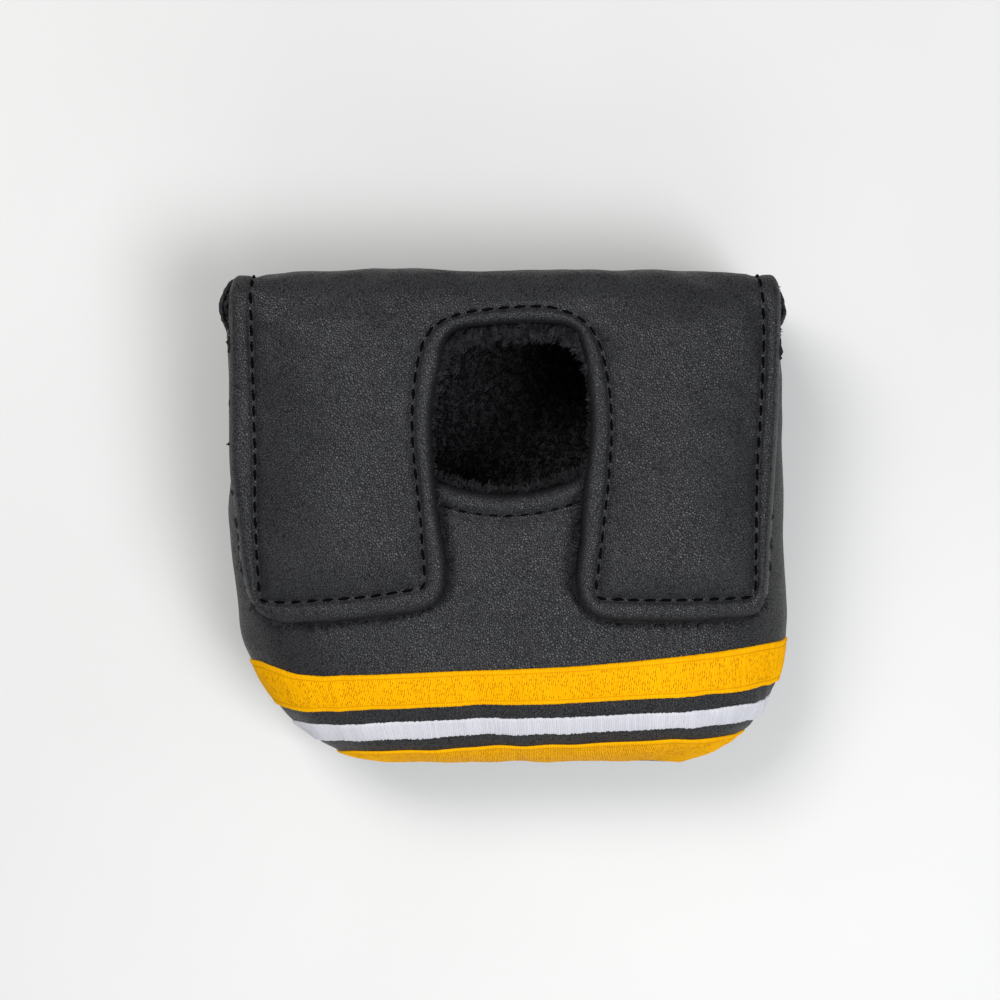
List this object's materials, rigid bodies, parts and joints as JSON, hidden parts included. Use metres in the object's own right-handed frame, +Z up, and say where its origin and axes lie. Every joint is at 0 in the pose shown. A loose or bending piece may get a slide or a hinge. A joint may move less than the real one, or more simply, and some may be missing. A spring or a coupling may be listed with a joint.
{
  "type": "mallet putter head cover",
  "caption": "Padded leather cover for a mallet putter head: plush-lined pouch with banded rear, fold-over flap with slot for the shaft, and front wall that folds down.",
  "frame": {"origin": "on the resting face of the sole, in the middle of the outline", "axes": "+Z up through the crown, +Y towards the front wall and the fold of the flap, -Y towards the banded rear, +X across"},
  "size_m": [0.134, 0.1158, 0.0575],
  "materials": {
    "black_leather": "fine pebble grain, semi-matt",
    "foam": "open-cell foam",
    "plush": "short-pile plush",
    "black_thread": "twisted polyester thread",
    "gold_embroidery": "dense satin and fill embroidery",
    "white_embroidery": "dense satin embroidery",
    "magnet_steel": "nickel-plated disc"
  },
  "bodies": {
    "pouch": {"crown_panel": "black_leather", "sole_panel": "black_leather", "crown_foam": "foam", "sole_foam": "foam", "crown_lining": "plush", "sole_lining": "plush", "perimeter_seam_thread": "black_thread", "lip_binding": "black_leather", "lip_topstitch": "black_thread", "stripe_upper_gold": "gold_embroidery", "stripe_middle_white": "white_embroidery", "stripe_lower_gold": "gold_embroidery", "crown_magnet_left": "magnet_steel", "crown_magnet_right": "magnet_steel"},
    "front_wall": {"front_panel": "black_leather", "front_foam": "foam", "front_lining": "plush"},
    "flap": {"flap_panel": "black_leather", "flap_foam_left": "foam", "flap_foam_right": "foam", "flap_lining": "plush", "flap_edge_stitch": "black_thread", "flap_slot_stitch": "black_thread", "flap_magnet_left": "magnet_steel", "flap_magnet_right": "magnet_steel"}
  },
  "joints": [
    {"name": "front_fold", "type": "hinge", "parent": "pouch", "child": "front_wall", "pos_m": [0, 0.058, 0], "axis": [-1, 0, 0], "range_deg": [0, 80]},
    {"name": "flap_fold", "type": "hinge", "parent": "front_wall", "child": "flap", "pos_m": [0, 0.058, 0.0575], "axis": [-1, 0, 0], "range_deg": [0, 100]}
  ]
}
